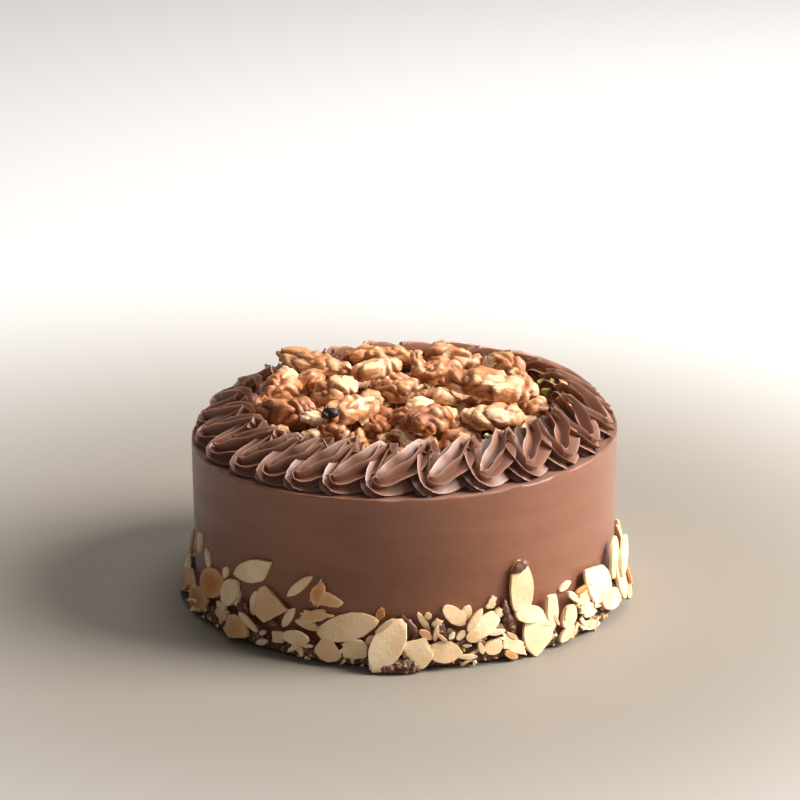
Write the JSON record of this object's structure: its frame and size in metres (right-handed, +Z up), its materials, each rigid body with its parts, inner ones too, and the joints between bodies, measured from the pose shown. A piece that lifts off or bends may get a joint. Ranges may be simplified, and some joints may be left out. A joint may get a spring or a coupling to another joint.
{
  "type": "chocolate cake",
  "caption": "Round iced chocolate cake with a piped border of leaning swirls, walnuts heaped on top and flaked almonds pressed round the foot.",
  "frame": {"origin": "on the table, under the middle of the round body's flat base", "axes": "+Z up; -Y is the side shown to the viewer; +X to the viewer's right"},
  "size_m": [0.1705, 0.172, 0.0846],
  "materials": {
    "cocoa_icing": "smooth chocolate icing, satin, with faint spatula marks",
    "piped_cream": "whipped chocolate cream, satin, with sharp piped edges",
    "walnut": "toasted walnut skin, slightly oily, with pale broken flesh",
    "almond": "dry sliced almond, pale with toasted patches",
    "pistachio": "chopped green pistachio kernel"
  },
  "bodies": {
    "root": {"cake_body": "cocoa_icing", "swirl_01": "piped_cream", "swirl_02": "piped_cream", "swirl_03": "piped_cream", "swirl_04": "piped_cream", "swirl_05": "piped_cream", "swirl_06": "piped_cream", "swirl_07": "piped_cream", "swirl_08": "piped_cream", "swirl_09": "piped_cream", "swirl_10": "piped_cream", "swirl_11": "piped_cream", "swirl_12": "piped_cream", "swirl_13": "piped_cream", "swirl_14": "piped_cream", "swirl_15": "piped_cream", "swirl_16": "piped_cream", "swirl_17": "piped_cream", "swirl_18": "piped_cream", "swirl_19": "piped_cream", "swirl_20": "piped_cream", "swirl_21": "piped_cream", "swirl_22": "piped_cream", "swirl_23": "piped_cream", "swirl_24": "piped_cream", "swirl_25": "piped_cream", "swirl_26": "piped_cream", "walnut_heap": "walnut", "walnut_01": "walnut", "walnut_02": "walnut", "walnut_03": "walnut", "walnut_04": "walnut", "walnut_05": "walnut", "walnut_06": "walnut", "walnut_07": "walnut", "walnut_08": "walnut", "walnut_09": "walnut", "walnut_10": "walnut", "walnut_11": "walnut", "walnut_12": "walnut", "walnut_13": "walnut", "walnut_14": "walnut", "almond_band": "almond", "cream_lump": "piped_cream"}
  },
  "joints": []
}
